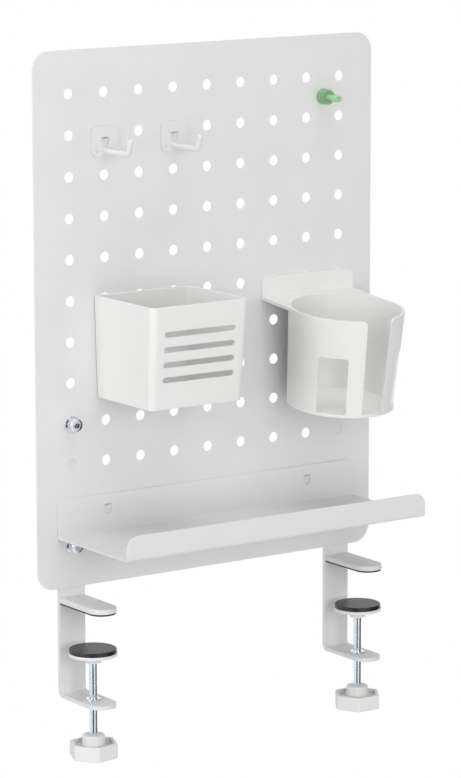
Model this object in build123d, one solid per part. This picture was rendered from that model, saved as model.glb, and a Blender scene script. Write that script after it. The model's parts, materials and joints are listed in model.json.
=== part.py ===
from build123d import *
import math
import os

os.makedirs("parts", exist_ok=True)

# Desk-clamped pegboard with a shelf, a pen box, a cup holder, two hooks and a magnetic pin.
# Millimetres, +X to the user's right, +Y away from the user, +Z up. The origin lies midway
# between the two clamps, on the plane of the clamp arms' front faces, where the desk's edge
# butts, and at the level of the desk top, which is the underside of the upper jaw pads.

# Pegboard: a flat steel sheet whose back face is the plane y = 0.
PANEL_W = 300.0
PANEL_H = 393.0
PANEL_T = 1.0
PANEL_CORNER_R = 14.0
PANEL_EDGE_R = 0.3
PANEL_ABOVE_DESK = 12.0
HOLE_PITCH = 30.0
HOLE_COLUMNS = 9
HOLE_ROWS = 12
HOLE_D = 8.0

# Clamp arms and jaws: one clamp under the first column of holes and one under the last.
CLAMP_COLUMNS = {"left": 0, "right": 8}
CLAMP_BOLT_ROWS = (8, 11)
ARM_W = 22.0
ARM_T = 3.0
ARM_BEND_R = 5.0
ARM_TOP_R = 5.0
ARM_ABOVE_BOLT = 15.0
UPPER_JAW_REACH = 50.5
LOWER_JAW_REACH = 49.0
UPPER_JAW_T = 3.8
JAW_EDGE_R = 1.3
JAW_PAD_T = 1.3
JAW_PAD_INSET = 0.5
JAW_OPENING = 67.0

# M6 bolts that hold the arms to the panel, heads to the front.
BOLT_D = 6.0
BOLT_HOLE_D = 6.6
BOLT_HEAD_D = 10.0
BOLT_HEAD_H = 6.0
BOLT_SOCKET_AF = 5.0
BOLT_SOCKET_DEPTH = 3.0
BOLT_END = 1.5
WASHER_D = 12.0
WASHER_T = 1.2
NUT_AF = 10.0
NUT_H = 5.0

# Clamping screw, the threaded bush in the lower jaw, the foot on top and the knob below.
SCREW_D = 6.0
SCREW_REACH = 27.4
SCREW_L = 68.0
SCREW_CHAMFER = 0.6
THREAD_CLEARANCE = 0.05
BUSH_D = 9.0
BUSH_FLANGE_D = 11.0
BUSH_FLANGE_T = 1.0
BUSH_BELOW = 2.0
DESK_GAP = 28.4
FOOT_PAD_D = 34.8
FOOT_PAD_T = 3.0
FOOT_PLATE_D = 36.0
FOOT_PLATE_T = 2.4
FOOT_EDGE_R = 0.6
FOOT_HUB_D = 12.0
FOOT_HUB_H = 5.0
NECK_D = 4.4
NECK_CLEARANCE = 0.05
CAP_D = 9.0
CAP_T = 1.2
CAP_ROOM = 0.3
KNOB_AF = 32.5
KNOB_H = 11.0
KNOB_CORNER_R = 2.5
KNOB_EDGE_R = 0.7
KNOB_RIM = 2.4
KNOB_POCKET = 3.0
KNOB_SOCKET_FLOOR = 3.2
COLLAR_TOP_D = 16.2
COLLAR_BASE_D = 17.6
COLLAR_H = 6.0
COLLAR_EDGE_R = 1.2
KNOB_TURN = {"left": 9.0, "right": -3.0}

# What hangs on the board stands this far off it, and seats this far above a hole's edge.
HANG_GAP = 0.15
SEAT_CLEARANCE = 0.1
TAB_DROP = 3.9
TAB_BACK_GAP = 0.35
SHEET_T = 1.2
SHEET_TAB_W = 6.0
TAB_WINDOW_SIDE = 0.4
TAB_WINDOW_H = 7.5
MOULDED_TAB_W = 5.0
MOULDED_TAB_T = 2.2

# Shelf: bent sheet, a back flange, a level tray and a front lip.
SHELF_W = 266.0
SHELF_FLANGE_H = 29.2
SHELF_DEPTH = 93.0
SHELF_LIP_H = 18.3
SHELF_BEND_R = 2.4
SHELF_FLANGE_R = 5.0
SHELF_LIP_R = 9.0
SHELF_ROW = 10
SHELF_TAB_COLUMNS = (1, 7)
SHELF_ABOVE_HOLE = 5.2

# Pen box: moulded, open at the top, tapering downwards, with slots in its front.
BOX_TOP_W = 84.0
BOX_BASE_W = 80.0
BOX_TOP_DEPTH = 77.0
BOX_BASE_DEPTH = 71.0
BOX_H = 75.0
BOX_WALL = 1.8
BOX_FLOOR = 2.0
BOX_FRONT_R = 5.0
BOX_BACK_R = 1.6
BOX_INSIDE_R = 3.2
BOX_HEEL_R = 4.0
BOX_RIM_R = 0.5
BOX_SLOTS = 4
BOX_SLOT_L = 61.5
BOX_SLOT_H = 4.3
BOX_SLOT_PITCH = 11.1
BOX_FIRST_SLOT = 20.3
BOX_COLUMN = 2
BOX_RIGHT_OF_COLUMN = 2.0
BOX_ROW = 5
BOX_TAB_COLUMNS = (1, 3)
BOX_ABOVE_HOLE = 2.9

# Cup holder: a back plate, a tongue that slopes down to the front, and a tapering cup.
CUP_PLATE_W = 84.0
CUP_PLATE_H = 17.6
CUP_PLATE_T = 2.2
CUP_PLATE_R = 5.0
CUP_TONGUE_T = 2.4
CUP_TILT = 5.9
CUP_REACH = 51.3
CUP_TOP_D = 86.8
CUP_BASE_D = 80.0
CUP_H = 74.5
CUP_WALL = 2.0
CUP_FLOOR = 2.2
CUP_SLOT_TOP_W = 22.0
CUP_SLOT_BASE_W = 18.5
CUP_SLOT_R = 4.0
CUP_WINDOW_W = 22.4
CUP_WINDOW_H = 43.0
CUP_WINDOW_R = 2.0
CUP_WINDOW_ANGLE = 47.0
CUP_COLUMN = 7
CUP_ROW = 5
CUP_TAB_COLUMNS = (6, 8)
CUP_ABOVE_HOLE = 3.6

# Hooks: a small sheet plate with a bent rod welded to its front.
HOOK_COLUMNS = {"left": 1, "right": 3}
HOOK_ROW = 1
HOOK_PLATE_W = 22.4
HOOK_PLATE_H = 22.0
HOOK_PLATE_R = 4.0
HOOK_ABOVE_HOLE = 5.5
HOOK_ROD_D = 4.2
HOOK_ROD_FROM_BASE = 3.7
HOOK_REACH = 31.5
HOOK_BEND_R = 4.0
HOOK_RISE = 7.5
HOOK_LEAN = 20.0
HOOK_TIP_R = 1.2
HOOK_DIMPLE_D = 1.8
HOOK_DIMPLE_DEPTH = 0.6
HOOK_DIMPLE_SIDE = 7.2

# Magnetic pin: it sits between four holes, near the board's top right corner.
PIN_COLUMNS = (7, 8)
PIN_ROWS = (0, 1)
PIN_BASE_D = 12.0
PIN_FACE_D = 11.0
PIN_BASE_L = 7.6
PIN_NECK_D = 4.6
PIN_NECK_L = 7.4
PIN_END_D = 6.0
PIN_END_L = 6.0
PIN_EDGE_R = 1.0
PIN_TIP_R = 2.0
MAGNET_D = 8.0
MAGNET_T = 3.0

# Places worked out from the sizes above.
PANEL_FRONT = -PANEL_T
HANG_Y = PANEL_FRONT - HANG_GAP
GRID_Z = PANEL_ABOVE_DESK + PANEL_H / 2
LOWER_JAW_TOP = -JAW_OPENING
LOWER_JAW_BASE = LOWER_JAW_TOP - ARM_T
FOOT_TOP = -DESK_GAP
FOOT_PLATE_TOP = FOOT_TOP - FOOT_PAD_T
FOOT_BASE = FOOT_PLATE_TOP - FOOT_PLATE_T - FOOT_HUB_H
SCREW_TOP = FOOT_BASE - NECK_CLEARANCE
SCREW_BASE = SCREW_TOP - SCREW_L
KNOB_BASE = SCREW_BASE - KNOB_SOCKET_FLOOR
KNOB_TOP = KNOB_BASE + KNOB_H


def column_x(column):
    """X of a column of holes, counted from the left."""
    return (column - (HOLE_COLUMNS - 1) / 2) * HOLE_PITCH


def row_z(row):
    """Z of a row of holes, counted from the top."""
    return GRID_Z + ((HOLE_ROWS - 1) / 2 - row) * HOLE_PITCH


def facing(y, x=0.0, z=0.0):
    """An upright plane at y that faces the user: its X is +X and its Y is +Z."""
    return Plane(origin=(x, y, z), x_dir=(1, 0, 0), z_dir=(0, -1, 0))


def level(z, x=0.0, y=0.0):
    """A horizontal plane at z that faces up."""
    return Plane(origin=(x, y, z), x_dir=(1, 0, 0), z_dir=(0, 0, 1))


def slab(x, y, z):
    """A box between the low and high values of each pair."""
    size = [high - low for low, high in (x, y, z)]
    centre = [(low + high) / 2 for low, high in (x, y, z)]
    return Pos(*centre) * Box(*size)


def rod(x, y, low, high, diameter):
    """An upright cylinder."""
    return Pos(x, y, (low + high) / 2) * Cylinder(diameter / 2, high - low)


def hexagon_bar(x, y, low, high, across_flats, turn=0.0):
    """An upright hexagonal bar."""
    outline = Rot(0, 0, turn) * RegularPolygon(across_flats / 2, 6, major_radius=False)
    return extrude(level(low, x, y) * outline, high - low)


def edges_at_z(solid, z, tolerance=0.01):
    """The edges that lie in the horizontal plane at z."""
    return [
        edge
        for edge in solid.edges()
        if abs(edge.bounding_box().min.Z - z) < tolerance
        and abs(edge.bounding_box().max.Z - z) < tolerance
    ]


def edges_at_y(solid, y, tolerance=0.01):
    """The edges that lie in the upright plane at y."""
    return [
        edge
        for edge in solid.edges()
        if abs(edge.bounding_box().min.Y - y) < tolerance
        and abs(edge.bounding_box().max.Y - y) < tolerance
    ]


def corners_at_z(plate, z, tolerance=0.01):
    """The short edges through an upright plate, at its corners at height z."""
    return [
        edge for edge in plate.edges().filter_by(Axis.Y) if abs(edge.center().Z - z) < tolerance
    ]


def bend_lines(sheet, y, z, tolerance=0.01):
    """The edges along X that lie at y and z, where a sheet is bent."""
    return [
        edge
        for edge in sheet.edges().filter_by(Axis.X)
        if abs(edge.center().Y - y) < tolerance and abs(edge.center().Z - z) < tolerance
    ]


# ---------------------------------------------------------------- pegboard and clamps


def make_panel():
    outline = RectangleRounded(PANEL_W, PANEL_H, PANEL_CORNER_R)
    holes = GridLocations(HOLE_PITCH, HOLE_PITCH, HOLE_COLUMNS, HOLE_ROWS) * Circle(HOLE_D / 2)
    board = extrude(facing(0, z=GRID_Z) * outline, PANEL_T)
    board = fillet(edges_at_y(board, PANEL_FRONT) + edges_at_y(board, 0), PANEL_EDGE_R)
    return board - extrude(facing(0, z=GRID_Z) * Sketch(children=holes), PANEL_T)


def tongue(reach, width):
    """A flat tongue from y = 0 towards the user, with a semicircular end."""
    straight = reach - width / 2
    return Pos(0, -straight / 2) * Rectangle(width, straight) + Pos(0, -straight) * Circle(width / 2)


def make_clamp_arm(x):
    inner_r = ARM_BEND_R - ARM_T
    top = row_z(CLAMP_BOLT_ROWS[0]) + ARM_ABOVE_BOLT
    bend_z = LOWER_JAW_BASE + ARM_BEND_R
    bend_y = ARM_T - ARM_BEND_R
    upright = extrude(
        facing(ARM_T, x, (top + bend_z) / 2) * Rectangle(ARM_W, top - bend_z), ARM_T
    )
    upright = fillet(corners_at_z(upright, top), ARM_TOP_R)
    ring = Circle(ARM_BEND_R) - Circle(inner_r)
    quarter = ring & Pos(ARM_BEND_R / 2, -ARM_BEND_R / 2) * Rectangle(ARM_BEND_R, ARM_BEND_R)
    side = Plane(origin=(x - ARM_W / 2, bend_y, bend_z), x_dir=(0, 1, 0), z_dir=(1, 0, 0))
    bend = extrude(side * quarter, ARM_W)
    flat = tongue(LOWER_JAW_REACH + bend_y, ARM_W)
    jaw = extrude(level(LOWER_JAW_BASE, x, bend_y) * flat, ARM_T)
    arm = upright + bend + jaw
    for row in CLAMP_BOLT_ROWS:
        arm -= extrude(facing(ARM_T, x, row_z(row)) * Circle(BOLT_HOLE_D / 2), ARM_T)
    return arm - rod(x, -SCREW_REACH, LOWER_JAW_BASE, LOWER_JAW_TOP, BUSH_D)


def make_upper_jaw(x):
    jaw = extrude(level(JAW_PAD_T, x) * tongue(UPPER_JAW_REACH, ARM_W), UPPER_JAW_T)
    rim = [edge for edge in edges_at_z(jaw, JAW_PAD_T + UPPER_JAW_T) if edge.center().Y < -ARM_T]
    return fillet(rim, JAW_EDGE_R)


def make_jaw_pad(x):
    outline = tongue(UPPER_JAW_REACH - JAW_PAD_INSET, ARM_W - 2 * JAW_PAD_INSET)
    return extrude(level(0, x) * outline, JAW_PAD_T)


def make_thread_bush(x):
    """The threaded bush that is pressed into the lower jaw, with its flange on top."""
    y = -SCREW_REACH
    base = LOWER_JAW_BASE - BUSH_BELOW
    top = LOWER_JAW_TOP + BUSH_FLANGE_T
    bush = rod(x, y, base, top, BUSH_D) + rod(x, y, LOWER_JAW_TOP, top, BUSH_FLANGE_D)
    return bush - rod(x, y, base, top, SCREW_D + 2 * THREAD_CLEARANCE)


def bolt_places():
    for column in CLAMP_COLUMNS.values():
        for row in CLAMP_BOLT_ROWS:
            yield column_x(column), row_z(row)


def make_bolt(x, z):
    """A socket-head cap screw whose head bears on its washer."""
    bearing_y = PANEL_FRONT - WASHER_T
    length = WASHER_T + PANEL_T + ARM_T + NUT_H + BOLT_END
    shank = extrude(facing(bearing_y + length, x, z) * Circle(BOLT_D / 2), length)
    head = extrude(facing(bearing_y, x, z) * Circle(BOLT_HEAD_D / 2), BOLT_HEAD_H)
    front_y = bearing_y - BOLT_HEAD_H
    head = fillet(edges_at_y(head, front_y), PANEL_EDGE_R)
    socket = RegularPolygon(BOLT_SOCKET_AF / 2, 6, major_radius=False)
    head -= extrude(facing(front_y + BOLT_SOCKET_DEPTH, x, z) * socket, BOLT_SOCKET_DEPTH)
    return shank + head


def make_bolt_washer(x, z):
    ring = Circle(WASHER_D / 2) - Circle(BOLT_D / 2 + THREAD_CLEARANCE)
    return extrude(facing(PANEL_FRONT, x, z) * ring, WASHER_T)


def make_bolt_nut(x, z):
    hexagon = RegularPolygon(NUT_AF / 2, 6, major_radius=False)
    ring = hexagon - Circle(BOLT_D / 2 + THREAD_CLEARANCE)
    return extrude(facing(ARM_T + NUT_H, x, z) * ring, NUT_H)


# ---------------------------------------------------------------- clamping screws


def make_foot_plate(x):
    y = -SCREW_REACH
    plate_base = FOOT_PLATE_TOP - FOOT_PLATE_T
    plate = rod(x, y, plate_base, FOOT_PLATE_TOP, FOOT_PLATE_D)
    plate = fillet(edges_at_z(plate, plate_base) + edges_at_z(plate, FOOT_PLATE_TOP), FOOT_EDGE_R)
    hub = rod(x, y, FOOT_BASE, plate_base, FOOT_HUB_D)
    recess = rod(
        x, y, FOOT_PLATE_TOP - CAP_T - CAP_ROOM, FOOT_PLATE_TOP, CAP_D + 2 * CAP_ROOM
    )
    bore = rod(x, y, FOOT_BASE, FOOT_PLATE_TOP, NECK_D + 2 * NECK_CLEARANCE)
    return plate + hub - recess - bore


def make_foot_pad(x):
    pad = rod(x, -SCREW_REACH, FOOT_PLATE_TOP, FOOT_TOP, FOOT_PAD_D)
    return fillet(edges_at_z(pad, FOOT_TOP), FOOT_EDGE_R)


def make_screw(x):
    """The threaded rod, with a neck that turns in the foot's hub."""
    y = -SCREW_REACH
    thread = rod(x, y, SCREW_BASE, SCREW_TOP, SCREW_D)
    thread = chamfer(edges_at_z(thread, SCREW_TOP), SCREW_CHAMFER)
    cap_base = FOOT_PLATE_TOP - CAP_T - CAP_ROOM + NECK_CLEARANCE
    return thread + rod(x, y, SCREW_TOP, cap_base + CAP_T, NECK_D)


def make_screw_cap(x):
    """The disc pressed on the neck, which holds the foot on the screw."""
    y = -SCREW_REACH
    base = FOOT_PLATE_TOP - CAP_T - CAP_ROOM + NECK_CLEARANCE
    return rod(x, y, base, base + CAP_T, CAP_D) - rod(x, y, base, base + CAP_T, NECK_D)


def make_knob(x, turn):
    y = -SCREW_REACH
    grip = hexagon_bar(x, y, KNOB_BASE, KNOB_TOP, KNOB_AF, turn)
    grip = fillet(grip.edges().filter_by(Axis.Z), KNOB_CORNER_R)
    grip = fillet(edges_at_z(grip, KNOB_BASE) + edges_at_z(grip, KNOB_TOP), KNOB_EDGE_R)
    pocket_base = KNOB_TOP - KNOB_POCKET
    grip -= hexagon_bar(x, y, pocket_base, KNOB_TOP, KNOB_AF - 2 * KNOB_RIM, turn)
    collar_h = COLLAR_H + KNOB_POCKET
    collar = Pos(x, y, pocket_base + collar_h / 2) * Cone(
        COLLAR_BASE_D / 2, COLLAR_TOP_D / 2, collar_h
    )
    collar = fillet(edges_at_z(collar, KNOB_TOP + COLLAR_H), COLLAR_EDGE_R)
    knob = grip + collar
    return knob - rod(x, y, SCREW_BASE, KNOB_TOP + COLLAR_H, SCREW_D)


# ---------------------------------------------------------------- what hangs on the board


def tab_seat(width):
    """Height of a tab's underside over its hole's centre: its corners rest on the hole's edge."""
    return SEAT_CLEARANCE - math.sqrt((HOLE_D / 2) ** 2 - (width / 2) ** 2)


def hanging_tab(column, row, width, thickness, root_y):
    """A tab from root_y back through a hole, and down behind the board."""
    x = column_x(column)
    under = row_z(row) + tab_seat(width)
    sides = (x - width / 2, x + width / 2)
    back = TAB_BACK_GAP + thickness
    neck = slab(sides, (root_y, back), (under, under + thickness))
    leg = slab(sides, (TAB_BACK_GAP, back), (under - TAB_DROP, under + thickness))
    return neck + leg


def tab_window(column, row):
    """The hole that a sheet tab leaves below it when it is bent out of the plate."""
    width = SHEET_TAB_W + 2 * TAB_WINDOW_SIDE
    top = row_z(row) + tab_seat(SHEET_TAB_W)
    straight = TAB_WINDOW_H - width / 2
    outline = Pos(0, -straight / 2) * Rectangle(width, straight)
    outline += Pos(0, -straight) * Circle(width / 2)
    return extrude(facing(HANG_Y, column_x(column), top) * outline, SHEET_T)


def sheet_plate(x, top, width, height, corner_r):
    """An upright sheet against the board, with rounded upper corners."""
    plate = slab((x - width / 2, x + width / 2), (HANG_Y - SHEET_T, HANG_Y), (top - height, top))
    return fillet(corners_at_z(plate, top), corner_r)


def make_shelf():
    top = row_z(SHELF_ROW) + SHELF_ABOVE_HOLE
    base = top - SHELF_FLANGE_H
    lip_y = PANEL_FRONT - SHELF_DEPTH
    sides = (-SHELF_W / 2, SHELF_W / 2)
    flange = slab(sides, (HANG_Y - SHEET_T, HANG_Y), (base, top))
    tray = slab(sides, (lip_y, HANG_Y), (base, base + SHEET_T))
    lip_top = base + SHELF_LIP_H
    lip = slab(sides, (lip_y, lip_y + SHEET_T), (base, lip_top))
    shelf = fillet(corners_at_z(flange, top), SHELF_FLANGE_R) + tray
    shelf += fillet(corners_at_z(lip, lip_top), SHELF_LIP_R)
    outer_bends = bend_lines(shelf, HANG_Y, base) + bend_lines(shelf, lip_y, base)
    shelf = fillet(outer_bends, SHELF_BEND_R)
    tray_top = base + SHEET_T
    inner_bends = bend_lines(shelf, HANG_Y - SHEET_T, tray_top)
    inner_bends += bend_lines(shelf, lip_y + SHEET_T, tray_top)
    shelf = fillet(inner_bends, SHELF_BEND_R - SHEET_T)
    for column in SHELF_TAB_COLUMNS:
        shelf -= tab_window(column, SHELF_ROW)
        shelf += hanging_tab(column, SHELF_ROW, SHEET_TAB_W, SHEET_T, HANG_Y - SHEET_T)
    return shelf


def box_x():
    """X of the pen box's middle, which hangs a little to the right of its column of holes."""
    return column_x(BOX_COLUMN) + BOX_RIGHT_OF_COLUMN


def box_section(z, width, depth, inset, front_r, back_r):
    """A level section of the pen box, whose back stays against the board."""
    outline = Rectangle(width - 2 * inset, depth - 2 * inset)
    outline = fillet(outline.vertices().sort_by(Axis.Y)[:2], front_r)
    outline = fillet(outline.vertices().sort_by(Axis.Y)[-2:], back_r)
    return level(z, box_x(), HANG_Y - depth / 2) * outline


def make_pen_box():
    x = box_x()
    top = row_z(BOX_ROW) + BOX_ABOVE_HOLE
    base = top - BOX_H
    shell = loft([
        box_section(base, BOX_BASE_W, BOX_BASE_DEPTH, 0, BOX_FRONT_R, BOX_BACK_R),
        box_section(top, BOX_TOP_W, BOX_TOP_DEPTH, 0, BOX_FRONT_R, BOX_BACK_R),
    ])
    heel_side = slab(
        (x - BOX_TOP_W, x + BOX_TOP_W), (HANG_Y - BOX_TOP_DEPTH, HANG_Y), (base, top)
    )
    shell &= fillet(bend_lines(heel_side, HANG_Y, base), BOX_HEEL_R)
    lean = BOX_FLOOR / BOX_H
    floor_w = BOX_BASE_W + (BOX_TOP_W - BOX_BASE_W) * lean
    floor_depth = BOX_BASE_DEPTH + (BOX_TOP_DEPTH - BOX_BASE_DEPTH) * lean
    hollow = loft([
        box_section(base + BOX_FLOOR, floor_w, floor_depth, BOX_WALL, BOX_INSIDE_R, BOX_INSIDE_R),
        box_section(top, BOX_TOP_W, BOX_TOP_DEPTH, BOX_WALL, BOX_INSIDE_R, BOX_INSIDE_R),
    ])
    hollow = fillet(edges_at_z(hollow, base + BOX_FLOOR), BOX_HEEL_R - BOX_WALL)
    box = shell - hollow
    box = fillet(edges_at_z(box, top), BOX_RIM_R)
    front_y = HANG_Y - BOX_TOP_DEPTH
    for index in range(BOX_SLOTS):
        z = top - BOX_FIRST_SLOT - index * BOX_SLOT_PITCH
        slot = SlotOverall(BOX_SLOT_L, BOX_SLOT_H)
        box -= extrude(facing(front_y + BOX_TOP_DEPTH / 2, x, z) * slot, BOX_TOP_DEPTH / 2)
    for column in BOX_TAB_COLUMNS:
        box += hanging_tab(column, BOX_ROW, MOULDED_TAB_W, MOULDED_TAB_T, HANG_Y - BOX_WALL / 2)
    return box


def make_cup_holder():
    x = column_x(CUP_COLUMN)
    plate_top = row_z(CUP_ROW) + CUP_ABOVE_HOLE
    plate_base = plate_top - CUP_PLATE_H
    plate = slab(
        (x - CUP_PLATE_W / 2, x + CUP_PLATE_W / 2),
        (HANG_Y - CUP_PLATE_T, HANG_Y),
        (plate_base, plate_top),
    )
    plate = fillet(corners_at_z(plate, plate_top), CUP_PLATE_R)

    # The tongue and the cup are drawn in a plane that slopes down from the plate's foot.
    slope = math.radians(CUP_TILT)
    down = Vector(0, -math.sin(slope), math.cos(slope))
    hinge_y = HANG_Y - CUP_PLATE_T / 2
    rim = Plane(origin=(x, hinge_y, plate_base + CUP_TONGUE_T), x_dir=(1, 0, 0), z_dir=down)
    reach = (hinge_y - PANEL_FRONT + CUP_REACH) / math.cos(slope)
    top_r = CUP_TOP_D / 2
    base_r = CUP_BASE_D / 2
    collar = Pos(0, -reach / 2) * Rectangle(CUP_PLATE_W, reach) + Pos(0, -reach) * Circle(top_r)
    tongue_plate = extrude(rim * collar, -CUP_TONGUE_T)
    cup_place = rim.location * Pos(0, -reach, 0)
    taper = (top_r - base_r) / CUP_H
    cup = cup_place * Pos(0, 0, -CUP_H / 2) * Cone(base_r, top_r, CUP_H)
    floor_r = base_r + taper * CUP_FLOOR - CUP_WALL
    inside_h = CUP_H - CUP_FLOOR
    hollow = cup_place * Pos(0, 0, -inside_h / 2) * Cone(floor_r, top_r - CUP_WALL, inside_h)
    holder = plate + tongue_plate + cup - hollow

    # The handle slot, open at the top, and a window on each side of it.
    floor_z = CUP_FLOOR - CUP_H
    slot = make_face(Polyline(
        (-CUP_SLOT_TOP_W / 2, 0),
        (CUP_SLOT_TOP_W / 2, 0),
        (CUP_SLOT_BASE_W / 2, floor_z),
        (-CUP_SLOT_BASE_W / 2, floor_z),
        close=True,
    ))
    flare_w = CUP_SLOT_TOP_W + 2 * CUP_SLOT_R
    flare = Pos(0, -CUP_SLOT_R / 2) * Rectangle(flare_w, CUP_SLOT_R)
    for side in (-1, 1):
        flare -= Pos(side * flare_w / 2, -CUP_SLOT_R) * Circle(CUP_SLOT_R)
    window = Pos(0, floor_z + CUP_WINDOW_H / 2) * Rectangle(CUP_WINDOW_W, CUP_WINDOW_H)
    window = fillet(window.vertices().sort_by(Axis.Y)[2:], CUP_WINDOW_R)
    cuts = ((0, slot + flare), (-CUP_WINDOW_ANGLE, window), (CUP_WINDOW_ANGLE, window))
    for angle, outline in cuts:
        cutter = extrude(facing(0) * outline, CUP_TOP_D)
        holder -= cup_place * Rot(0, 0, angle) * cutter
    for column in CUP_TAB_COLUMNS:
        holder += hanging_tab(
            column, CUP_ROW, MOULDED_TAB_W, MOULDED_TAB_T, HANG_Y - CUP_PLATE_T / 2
        )
    return holder


def make_hook_plate(column):
    x = column_x(column)
    top = row_z(HOOK_ROW) + HOOK_ABOVE_HOLE
    plate = sheet_plate(x, top, HOOK_PLATE_W, HOOK_PLATE_H, HOOK_PLATE_R)
    plate = fillet(corners_at_z(plate, top - HOOK_PLATE_H), HOOK_PLATE_R)
    plate -= tab_window(column, HOOK_ROW)
    rod_z = top - HOOK_PLATE_H + HOOK_ROD_FROM_BASE
    front_y = HANG_Y - SHEET_T
    for side in (-HOOK_DIMPLE_SIDE, HOOK_DIMPLE_SIDE):
        mark = facing(front_y + HOOK_DIMPLE_DEPTH, x + side, rod_z) * Circle(HOOK_DIMPLE_D / 2)
        plate -= extrude(mark, HOOK_DIMPLE_DEPTH)
    return plate + hanging_tab(column, HOOK_ROW, SHEET_TAB_W, SHEET_T, front_y)


def make_hook_rod(column):
    """A round rod straight out of the plate, then bent up with a forward lean."""
    x = column_x(column)
    z = row_z(HOOK_ROW) + HOOK_ABOVE_HOLE - HOOK_PLATE_H + HOOK_ROD_FROM_BASE
    start = HANG_Y - SHEET_T
    corner = PANEL_FRONT - HOOK_REACH
    lean = math.radians(HOOK_LEAN)
    rise = HOOK_RISE + HOOK_BEND_R
    tip = (x, corner - rise * math.sin(lean), z + rise * math.cos(lean))
    path = FilletPolyline((x, start, z), (x, corner, z), tip, radius=HOOK_BEND_R)
    bar = sweep(facing(start, x, z) * Circle(HOOK_ROD_D / 2), path=path)
    end_face = bar.faces().sort_by(Axis.Z)[-1]
    return fillet(end_face.edges(), HOOK_TIP_R)


def pin_place():
    x = sum(column_x(column) for column in PIN_COLUMNS) / len(PIN_COLUMNS)
    z = sum(row_z(row) for row in PIN_ROWS) / len(PIN_ROWS)
    return Location(facing(HANG_Y, x, z))


def make_pin_grip():
    """A turned grip: a wide foot with the magnet's pocket, a thin neck and a small end."""
    neck_start = PIN_BASE_L
    neck_end = neck_start + PIN_NECK_L
    length = neck_end + PIN_END_L
    outline = Polyline(
        (0, 0),
        (PIN_BASE_D / 2, 0),
        (PIN_FACE_D / 2, neck_start),
        (PIN_NECK_D / 2, neck_start),
        (PIN_NECK_D / 2, neck_end),
        (PIN_END_D / 2, neck_end),
        (PIN_END_D / 2, length),
        (0, length),
        close=True,
    )
    profile = Plane.XZ * make_face(outline)
    grip = revolve(profile, Axis.Z)
    grip = fillet(edges_at_z(grip, neck_start), PIN_EDGE_R)
    grip = fillet(edges_at_z(grip, length), PIN_TIP_R)
    grip -= Pos(0, 0, MAGNET_T / 2) * Cylinder(MAGNET_D / 2, MAGNET_T)
    return pin_place() * grip


def make_pin_magnet():
    return pin_place() * Pos(0, 0, MAGNET_T / 2) * Cylinder(MAGNET_D / 2, MAGNET_T)


# ---------------------------------------------------------------- all nodes


def build_nodes():
    nodes = {"panel": make_panel()}
    for side, column in CLAMP_COLUMNS.items():
        x = column_x(column)
        nodes[f"{side}_clamp_arm"] = make_clamp_arm(x)
        nodes[f"{side}_upper_jaw"] = make_upper_jaw(x)
        nodes[f"{side}_jaw_pad"] = make_jaw_pad(x)
        nodes[f"{side}_thread_bush"] = make_thread_bush(x)
        nodes[f"{side}_foot_plate"] = make_foot_plate(x)
        nodes[f"{side}_foot_pad"] = make_foot_pad(x)
        nodes[f"{side}_screw"] = make_screw(x)
        nodes[f"{side}_screw_cap"] = make_screw_cap(x)
        nodes[f"{side}_knob"] = make_knob(x, KNOB_TURN[side])
    nodes["clamp_bolts"] = Compound([make_bolt(x, z) for x, z in bolt_places()])
    nodes["bolt_washers"] = Compound([make_bolt_washer(x, z) for x, z in bolt_places()])
    nodes["bolt_nuts"] = Compound([make_bolt_nut(x, z) for x, z in bolt_places()])
    nodes["shelf"] = make_shelf()
    nodes["pen_box"] = make_pen_box()
    nodes["cup_holder"] = make_cup_holder()
    for side, column in HOOK_COLUMNS.items():
        nodes[f"{side}_hook_plate"] = make_hook_plate(column)
        nodes[f"{side}_hook_rod"] = make_hook_rod(column)
    nodes["pin_grip"] = make_pin_grip()
    nodes["pin_magnet"] = make_pin_magnet()
    return nodes


for node_name, shape in build_nodes().items():
    export_step(shape, f"parts/{node_name}.step")
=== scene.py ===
import json
import math

import bmesh
import bpy
from mathutils import Matrix, Vector


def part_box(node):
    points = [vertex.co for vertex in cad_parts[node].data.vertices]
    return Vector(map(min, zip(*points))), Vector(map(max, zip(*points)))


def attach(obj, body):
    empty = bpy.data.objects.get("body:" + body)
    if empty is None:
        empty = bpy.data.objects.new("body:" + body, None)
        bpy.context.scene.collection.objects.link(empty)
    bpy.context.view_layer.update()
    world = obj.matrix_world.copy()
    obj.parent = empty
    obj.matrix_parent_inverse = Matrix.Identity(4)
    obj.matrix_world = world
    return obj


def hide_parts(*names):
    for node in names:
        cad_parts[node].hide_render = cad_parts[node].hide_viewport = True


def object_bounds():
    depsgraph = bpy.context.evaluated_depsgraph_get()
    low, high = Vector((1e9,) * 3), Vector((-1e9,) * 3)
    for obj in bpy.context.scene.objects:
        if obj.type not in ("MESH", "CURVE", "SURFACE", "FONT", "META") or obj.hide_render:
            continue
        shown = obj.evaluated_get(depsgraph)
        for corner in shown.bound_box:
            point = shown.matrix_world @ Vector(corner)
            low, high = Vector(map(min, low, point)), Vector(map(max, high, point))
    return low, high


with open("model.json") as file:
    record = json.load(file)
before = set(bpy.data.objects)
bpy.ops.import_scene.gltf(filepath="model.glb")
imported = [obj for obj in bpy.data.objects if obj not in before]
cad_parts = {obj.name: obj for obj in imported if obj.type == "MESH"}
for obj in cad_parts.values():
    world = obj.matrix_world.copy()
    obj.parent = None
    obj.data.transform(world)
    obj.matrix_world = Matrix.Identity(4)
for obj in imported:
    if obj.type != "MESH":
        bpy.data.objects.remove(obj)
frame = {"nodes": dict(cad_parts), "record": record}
CAD_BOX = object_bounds()

# Lengths are in metres, in the frame of the CAD model: +X to the user's right, +Z up, and the
# board's back on the plane y = 0. Angles are in degrees, and an azimuth is turned from the front
# of the board towards its right side.
MM = 0.001

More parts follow.
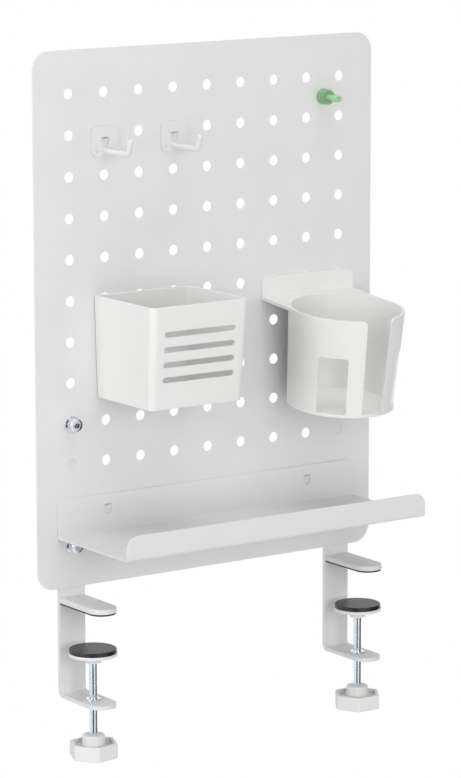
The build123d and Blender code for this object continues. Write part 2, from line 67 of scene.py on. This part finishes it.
# The camera stands to the left of the board, a little above its middle.
CAMERA_AZIMUTH = -34.687
CAMERA_ELEVATION = 10.393
CAMERA_ROLL = -0.082
CAMERA_DISTANCE = 2.6757
CAMERA_TARGET = (0.00379, -0.025, 0.1499)
CAMERA_LENS = 167.6
CAMERA_SENSOR = 36.0
CAMERA_REACH = 20

# The studio. A light's share is what it adds of the plain level, at which a colour renders about
# as it is written. A light hidden from gloss doesn't show in the bolt heads.
WORLD_SHARE = 0.35
LIGHTS = (
    # name, azimuth, elevation, distance, side, share, seen in gloss
    ("left_light", -85, 12, 1.6, 1.1, 0.46, True),
    ("front_light", -14, 8, 1.8, 1.0, 0.37, True),
    ("right_light", 35, 0, 1.6, 0.9, 0.15, False),
    ("top_light", -20, 78, 1.6, 1.1, 0.39, True),
)
DARK_CARD_DISTANCE = 1.3
DARK_CARD_HEIGHT = 3.0
DARK_CARDS = (
    # name, azimuth, width
    ("dark_card_behind_camera", -39, 1.05),
    ("dark_card_right", 64, 1.75),
)
FLOOR_SIDE = 12
FLOOR_DROP = 0.63
FLOOR_COLOUR = (0.8, 0.8, 0.8, 1)
FLOOR_ROUGHNESS = 0.8

# Clamp screws: M6 with its coarse pitch, and a rolled thread with broad flat crests. The profile
# is in shares of the pitch. The thread starts at an odd share of a turn below the screw's end, so
# that no corner of it lies on the plane that cuts it off.
SCREW_PITCH = 1.0 * MM
SCREW_THREAD_DEPTH = 0.35 * MM
SCREW_STEPS_PER_TURN = 28
THREAD_ROOT_END = 0.12
THREAD_CREST_START = 0.3
THREAD_CREST_END = 0.82
THREAD_START_TURNS = 1.37
SPARE_TURNS = 2
NECK_SHARE_OF_ROOT = 0.85

# Rounding of the edges, under the paint or in the mould.
SHEET_EDGE = 0.32 * MM
MOULDED_EDGE = 0.55 * MM
METAL_EDGE = 0.2 * MM
RUBBER_EDGE = 0.25 * MM
PANEL_EDGE = 0.15 * MM
SOFT_SEGMENTS = 3
FINE_SEGMENTS = 2
SHEET_NODES = (
    "shelf",
    "left_hook_plate",
    "right_hook_plate",
    "left_clamp_arm",
    "right_clamp_arm",
    "left_upper_jaw",
    "right_upper_jaw",
)
MOULDED_NODES = ("cup_holder", "pen_box")
METAL_NODES = (
    "clamp_bolts",
    "bolt_washers",
    "bolt_nuts",
    "left_thread_bush",
    "right_thread_bush",
)
RUBBER_NODES = ("left_jaw_pad", "right_jaw_pad")
ROUNDED_EDGES = (
    (SHEET_NODES, SHEET_EDGE, SOFT_SEGMENTS),
    (MOULDED_NODES, MOULDED_EDGE, SOFT_SEGMENTS),
    (METAL_NODES, METAL_EDGE, FINE_SEGMENTS),
    (RUBBER_NODES, RUBBER_EDGE, FINE_SEGMENTS),
    (("panel",), PANEL_EDGE, FINE_SEGMENTS),
)

# How near two points are one, how flat two faces are one, and which edges count as sharp.
CAD_MERGE = 0.002 * MM
THREAD_MERGE = 0.004 * MM
CUT_TOLERANCE = 0.002 * MM
FLAT_ANGLE = 0.5
ROUNDED_FROM_ANGLE = 30
SHARP_FROM_ANGLE = 35
THREAD_SHARP_FROM_ANGLE = 25


# ---------------------------------------------------------------- materials

# The noise keeps close to its middle, so a finish drifts over this part of the noise's range.
NOISE_LOW = 0.3
NOISE_HIGH = 0.7


def new_material(name):
    """A material with its nodes, its links and its Principled shader."""
    material = bpy.data.materials.new(name)
    material.use_nodes = True
    nodes = material.node_tree.nodes
    shader = nodes["Principled BSDF"]
    return material, nodes, material.node_tree.links, shader


def noise_on_object(nodes, links, scale, detail=3.0, stretch=(1, 1, 1)):
    """A noise pattern on the piece's own coordinates; scale is in features per metre."""
    place = nodes.new("ShaderNodeTexCoord")
    mapping = nodes.new("ShaderNodeMapping")
    mapping.inputs["Scale"].default_value = stretch
    noise = nodes.new("ShaderNodeTexNoise")
    noise.inputs["Scale"].default_value = scale
    noise.inputs["Detail"].default_value = detail
    links.new(place.outputs["Object"], mapping.inputs["Vector"])
    links.new(mapping.outputs["Vector"], noise.inputs["Vector"])
    return noise


def vary_colour(nodes, links, shader, noise, low, high):
    """The base colour drifts between two near tones with the noise."""
    ramp = nodes.new("ShaderNodeValToRGB")
    ramp.color_ramp.elements[0].position = NOISE_LOW
    ramp.color_ramp.elements[0].color = (*low, 1)
    ramp.color_ramp.elements[1].position = NOISE_HIGH
    ramp.color_ramp.elements[1].color = (*high, 1)
    links.new(noise.outputs["Fac"], ramp.inputs["Fac"])
    links.new(ramp.outputs["Color"], shader.inputs["Base Color"])


def vary_roughness(nodes, links, shader, noise, low, high):
    """The roughness drifts between two values with the noise."""
    spread = nodes.new("ShaderNodeMapRange")
    spread.inputs["From Min"].default_value = NOISE_LOW
    spread.inputs["From Max"].default_value = NOISE_HIGH
    spread.inputs["To Min"].default_value = low
    spread.inputs["To Max"].default_value = high
    links.new(noise.outputs["Fac"], spread.inputs["Value"])
    links.new(spread.outputs["Result"], shader.inputs["Roughness"])


def add_bump(nodes, links, shader, noise, height):
    """The noise raises the surface by up to the given height."""
    bump = nodes.new("ShaderNodeBump")
    bump.inputs["Strength"].default_value = 1.0
    bump.inputs["Distance"].default_value = height
    links.new(noise.outputs["Fac"], bump.inputs["Height"])
    links.new(bump.outputs["Normal"], shader.inputs["Normal"])


def powder_coated_steel():
    """White powder coat: satin, with the fine orange peel of a baked coat."""
    material, nodes, links, shader = new_material("powder_coated_steel")
    patches = noise_on_object(nodes, links, scale=30)
    vary_colour(
        nodes, links, shader, patches, low=(0.735, 0.735, 0.733), high=(0.75, 0.75, 0.748)
    )
    peel = noise_on_object(nodes, links, scale=900, detail=4)
    vary_roughness(nodes, links, shader, peel, low=0.36, high=0.46)
    add_bump(nodes, links, shader, peel, height=0.012 * MM)
    return material


def moulded_white_plastic():
    """White moulded plastic with a fine even grain."""
    material, nodes, links, shader = new_material("moulded_white_plastic")
    patches = noise_on_object(nodes, links, scale=18)
    vary_colour(nodes, links, shader, patches, low=(0.785, 0.784, 0.775), high=(0.8, 0.8, 0.792))
    grain = noise_on_object(nodes, links, scale=2600, detail=2)
    vary_roughness(nodes, links, shader, grain, low=0.4, high=0.5)
    add_bump(nodes, links, shader, grain, height=0.006 * MM)
    return material


def black_rubber():
    """Soft black rubber with a pebbled, slightly dusty skin."""
    material, nodes, links, shader = new_material("black_rubber")
    dust = noise_on_object(nodes, links, scale=260, detail=5)
    vary_colour(nodes, links, shader, dust, low=(0.01, 0.01, 0.011), high=(0.018, 0.018, 0.019))
    pebbles = noise_on_object(nodes, links, scale=1700, detail=2)
    vary_roughness(nodes, links, shader, pebbles, low=0.34, high=0.44)
    add_bump(nodes, links, shader, pebbles, height=0.015 * MM)
    return material


def zinc_plated_steel():
    """Bright zinc plate with its cold blue cast and faint drawing marks along the rod."""
    material, nodes, links, shader = new_material("zinc_plated_steel")
    shader.inputs["Metallic"].default_value = 1.0
    patches = noise_on_object(nodes, links, scale=90, detail=3)
    vary_colour(nodes, links, shader, patches, low=(0.74, 0.80, 0.86), high=(0.80, 0.86, 0.92))
    marks = noise_on_object(nodes, links, scale=2400, detail=2, stretch=(1, 1, 0.12))
    vary_roughness(nodes, links, shader, marks, low=0.1, high=0.16)
    return material


def green_clear_plastic():
    """Tinted clear plastic, cloudy inside."""
    material, nodes, links, shader = new_material("green_clear_plastic")
    cloud = noise_on_object(nodes, links, scale=420, detail=3)
    vary_colour(nodes, links, shader, cloud, low=(0.42, 0.83, 0.43), high=(0.55, 0.92, 0.55))
    vary_roughness(nodes, links, shader, cloud, low=0.1, high=0.18)
    add_bump(nodes, links, shader, cloud, height=0.01 * MM)
    shader.inputs["Transmission Weight"].default_value = 0.6
    shader.inputs["IOR"].default_value = 1.49
    return material


def nickel_plate():
    """The magnet's bright nickel plate."""
    material, nodes, links, shader = new_material("nickel_plate")
    shader.inputs["Metallic"].default_value = 1.0
    patches = noise_on_object(nodes, links, scale=500)
    vary_colour(nodes, links, shader, patches, low=(0.60, 0.59, 0.57), high=(0.68, 0.67, 0.65))
    vary_roughness(nodes, links, shader, patches, low=0.15, high=0.25)
    return material


FINISH = {
    "white_steel": powder_coated_steel(),
    "white_plastic": moulded_white_plastic(),
    "black_rubber": black_rubber(),
    "zinc_steel": zinc_plated_steel(),
    "green_plastic": green_clear_plastic(),
    "magnet": nickel_plate(),
}
SLOT_OF = {part["node"]: part["material_slot"] for part in frame["record"]["subparts"]}
BODY_OF = {
    node: body
    for body, members in frame["record"]["behaviour"]["bodies"].items()
    for node in members
}


def finish_cad_nodes():
    """Every CAD node takes the finish of its material slot."""
    for name, node in frame["nodes"].items():
        node.data.materials.clear()
        node.data.materials.append(FINISH[SLOT_OF[name]])


# ---------------------------------------------------------------- pieces over the frame


def mesh_from(bm, name):
    """The bmesh as a mesh of the given name, with the bmesh freed."""
    mesh = bpy.data.meshes.new(name)
    bm.to_mesh(mesh)
    bm.free()
    return mesh


def add_object(name, data):
    """A new object in the scene."""
    thing = bpy.data.objects.new(name, data)
    bpy.context.scene.collection.objects.link(thing)
    return thing


def put_in_place(bm, name, node, sharp_from=SHARP_FROM_ANGLE):
    """Makes the bmesh a piece that stands for a CAD node, rides on its body and has its finish."""
    mesh = mesh_from(bm, name)
    if "custom_normal" in mesh.attributes:
        mesh.attributes.remove(mesh.attributes["custom_normal"])
    mesh.shade_smooth()
    mesh.set_sharp_from_angle(angle=math.radians(sharp_from))
    mesh.materials.clear()
    mesh.materials.append(FINISH[SLOT_OF[node]])
    piece = add_object(name, mesh)
    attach(piece, BODY_OF[node])
    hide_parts(node)
    return piece


def merged_copy(node):
    """A bmesh of a CAD node's own shape, with its loose triangles joined and flat faces whole."""
    bm = bmesh.new()
    bm.from_mesh(frame["nodes"][node].data)
    bmesh.ops.remove_doubles(bm, verts=bm.verts, dist=CAD_MERGE)
    bmesh.ops.dissolve_limit(
        bm, angle_limit=math.radians(FLAT_ANGLE), verts=bm.verts, edges=bm.edges, delimit=set()
    )
    return bm


def round_edges(node, radius, segments):
    """The CAD node with its sharp edges rounded, as the paint or the mould leaves them."""
    piece = put_in_place(merged_copy(node), f"{node}_rounded", node)
    bevel = piece.modifiers.new("edges", "BEVEL")
    bevel.width = radius
    bevel.segments = segments
    bevel.limit_method = "ANGLE"
    bevel.angle_limit = math.radians(ROUNDED_FROM_ANGLE)
    bevel.use_clamp_overlap = True
    bevel.harden_normals = True


def threaded_screw(side):
    """The clamp screw with its real thread, turned up from one flank round the axis."""
    node = f"{side}_screw"
    low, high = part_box(node)
    hub_low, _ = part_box(f"{side}_foot_plate")
    centre = Vector(((low.x + high.x) / 2, (low.y + high.y) / 2, 0))
    crest = (high.x - low.x) / 2
    root = crest - SCREW_THREAD_DEPTH
    thread_top = hub_low.z
    turns = math.ceil((thread_top - low.z) / SCREW_PITCH) + SPARE_TURNS
    start = low.z - THREAD_START_TURNS * SCREW_PITCH
    bm = bmesh.new()
    flank = (
        (root, 0.0),
        (root, THREAD_ROOT_END),
        (crest, THREAD_CREST_START),
        (crest, THREAD_CREST_END),
        (root, 1.0),
    )
    points = [
        bm.verts.new((centre.x + radius, centre.y, start + share * SCREW_PITCH))
        for radius, share in flank
    ]
    edges = [bm.edges.new(pair) for pair in zip(points, points[1:])]
    bmesh.ops.spin(
        bm,
        geom=points + edges,
        cent=centre,
        axis=(0, 0, 1),
        dvec=(0, 0, SCREW_PITCH / SCREW_STEPS_PER_TURN),
        angle=math.tau * turns,
        steps=SCREW_STEPS_PER_TURN * turns,
    )
    bmesh.ops.remove_doubles(bm, verts=bm.verts, dist=THREAD_MERGE)
    for height, outward in ((low.z, -1), (thread_top, 1)):
        bmesh.ops.bisect_plane(
            bm,
            geom=bm.verts[:] + bm.edges[:] + bm.faces[:],
            plane_co=(0, 0, height),
            plane_no=(0, 0, outward),
            clear_outer=True,
        )
        rim = [
            edge for edge in bm.edges
            if edge.is_boundary
            and all(abs(vert.co.z - height) < CUT_TOLERANCE for vert in edge.verts)
        ]
        bmesh.ops.holes_fill(bm, edges=rim, sides=0)
    neck = root * NECK_SHARE_OF_ROOT
    bmesh.ops.create_cone(
        bm,
        cap_ends=True,
        segments=SCREW_STEPS_PER_TURN,
        radius1=neck,
        radius2=neck,
        depth=high.z - thread_top,
        matrix=Matrix.Translation((centre.x, centre.y, (high.z + thread_top) / 2)),
    )
    bmesh.ops.recalc_face_normals(bm, faces=bm.faces)
    put_in_place(bm, f"{side}_screw_thread", node, sharp_from=THREAD_SHARP_FROM_ANGLE)


# ---------------------------------------------------------------- light, backdrop, camera


def towards(azimuth, elevation):
    """The direction from the object to what stands at an azimuth and an elevation."""
    turn, rise = math.radians(azimuth), math.radians(elevation)
    return Vector((
        math.sin(turn) * math.cos(rise),
        -math.cos(turn) * math.cos(rise),
        math.sin(rise),
    ))


def middle_of_object():
    """The middle of the CAD model's box."""
    low, high = CAD_BOX
    return (low + high) / 2


def soft_light(name, azimuth, elevation, distance, side, share, in_gloss):
    """A square soft light that adds a share of the plain level to what faces it."""
    data = bpy.data.lights.new(name, "AREA")
    data.shape = "SQUARE"
    data.size = side
    data.energy = share * math.pi ** 2 * distance ** 2
    lamp = add_object(name, data)
    back = towards(azimuth, elevation)
    lamp.location = middle_of_object() + back * distance
    lamp.rotation_mode = "QUATERNION"
    lamp.rotation_quaternion = (-back).to_track_quat("-Z", "Y")
    lamp.visible_glossy = in_gloss


def white_where_seen(nodes, links, lit, white):
    """White to the camera and in gloss or glass, and lit as usual for everything else."""
    path = nodes.new("ShaderNodeLightPath")
    glossy = nodes.new("ShaderNodeMath")
    glossy.operation = "MAXIMUM"
    seen = nodes.new("ShaderNodeMath")
    seen.operation = "MAXIMUM"
    mix = nodes.new("ShaderNodeMixShader")
    links.new(path.outputs["Is Camera Ray"], glossy.inputs[0])
    links.new(path.outputs["Is Glossy Ray"], glossy.inputs[1])
    links.new(glossy.outputs[0], seen.inputs[0])
    links.new(path.outputs["Is Transmission Ray"], seen.inputs[1])
    links.new(seen.outputs[0], mix.inputs["Fac"])
    links.new(lit, mix.inputs[1])
    links.new(white, mix.inputs[2])
    return mix.outputs[0]


def white_world(share):
    """A white backdrop all round, which lights the object by a share of the plain level."""
    world = bpy.data.worlds.new("studio")
    bpy.context.scene.world = world
    world.use_nodes = True
    nodes, links = world.node_tree.nodes, world.node_tree.links
    nodes.clear()
    lit = nodes.new("ShaderNodeBackground")
    lit.inputs["Color"].default_value = (1, 1, 1, 1)
    lit.inputs["Strength"].default_value = share
    white = nodes.new("ShaderNodeBackground")
    white.inputs["Color"].default_value = (1, 1, 1, 1)
    output = nodes.new("ShaderNodeOutputWorld")
    surface = white_where_seen(
        nodes, links, lit.outputs["Background"], white.outputs["Background"]
    )
    links.new(surface, output.inputs["Surface"])


def studio_sheet(name, material, width, depth):
    """A flat sheet of the studio, which lies face up round the origin until it is placed."""
    bm = bmesh.new()
    bmesh.ops.create_grid(bm, x_segments=1, y_segments=1, size=0.5)
    bmesh.ops.scale(bm, verts=bm.verts, vec=(width, depth, 1))
    mesh = mesh_from(bm, name)
    mesh.materials.append(material)
    return add_object(name, mesh)


def pale_floor():
    """A wide pale floor, as far below the clamps as the floor under a desk."""
    material, nodes, links, diffuse = new_material("pale_floor")
    diffuse.inputs["Base Color"].default_value = FLOOR_COLOUR
    diffuse.inputs["Roughness"].default_value = FLOOR_ROUGHNESS
    white = nodes.new("ShaderNodeEmission")
    surface = white_where_seen(nodes, links, diffuse.outputs["BSDF"], white.outputs["Emission"])
    links.new(surface, nodes["Material Output"].inputs["Surface"])
    floor = studio_sheet("floor", material, FLOOR_SIDE, FLOOR_SIDE)
    low, _ = CAD_BOX
    floor.location.z = low.z - FLOOR_DROP


def dark_card(name, azimuth, width):
    """An upright black card that shows only as a dark streak in the metal."""
    material, nodes, links, _ = new_material(name)
    black = nodes.new("ShaderNodeEmission")
    black.inputs["Strength"].default_value = 0.0
    links.new(black.outputs["Emission"], nodes["Material Output"].inputs["Surface"])
    card = studio_sheet(name, material, width, DARK_CARD_HEIGHT)
    back = towards(azimuth, 0)
    card.location = middle_of_object() + back * DARK_CARD_DISTANCE
    card.rotation_mode = "QUATERNION"
    card.rotation_quaternion = back.to_track_quat("Z", "Y")
    card.visible_camera = False
    card.visible_diffuse = False
    card.visible_transmission = False
    card.visible_shadow = False


def photo_camera():
    """The camera at the photograph's viewing angle."""
    data = bpy.data.cameras.new("camera")
    data.lens = CAMERA_LENS
    data.sensor_width = CAMERA_SENSOR
    data.clip_end = CAMERA_REACH
    camera = add_object("camera", data)
    turn = math.radians(CAMERA_AZIMUTH)
    back = towards(CAMERA_AZIMUTH, CAMERA_ELEVATION)
    right = Vector((math.cos(turn), math.sin(turn), 0))
    axes = Matrix((right, back.cross(right), back)).transposed()
    roll = Matrix.Rotation(math.radians(CAMERA_ROLL), 3, "Z")
    camera.rotation_mode = "QUATERNION"
    camera.rotation_quaternion = (axes @ roll).to_quaternion()
    camera.location = Vector(CAMERA_TARGET) + back * CAMERA_DISTANCE
    bpy.context.scene.camera = camera


# ---------------------------------------------------------------- the scene

bpy.context.scene.view_settings.view_transform = "Standard"
photo_camera()
white_world(WORLD_SHARE)
for light in LIGHTS:
    soft_light(*light)
for dark in DARK_CARDS:
    dark_card(*dark)
pale_floor()

finish_cad_nodes()
for rounded_nodes, edge_radius, edge_segments in ROUNDED_EDGES:
    for rounded_node in rounded_nodes:
        round_edges(rounded_node, edge_radius, edge_segments)
for screw_side in ("left", "right"):
    threaded_screw(screw_side)
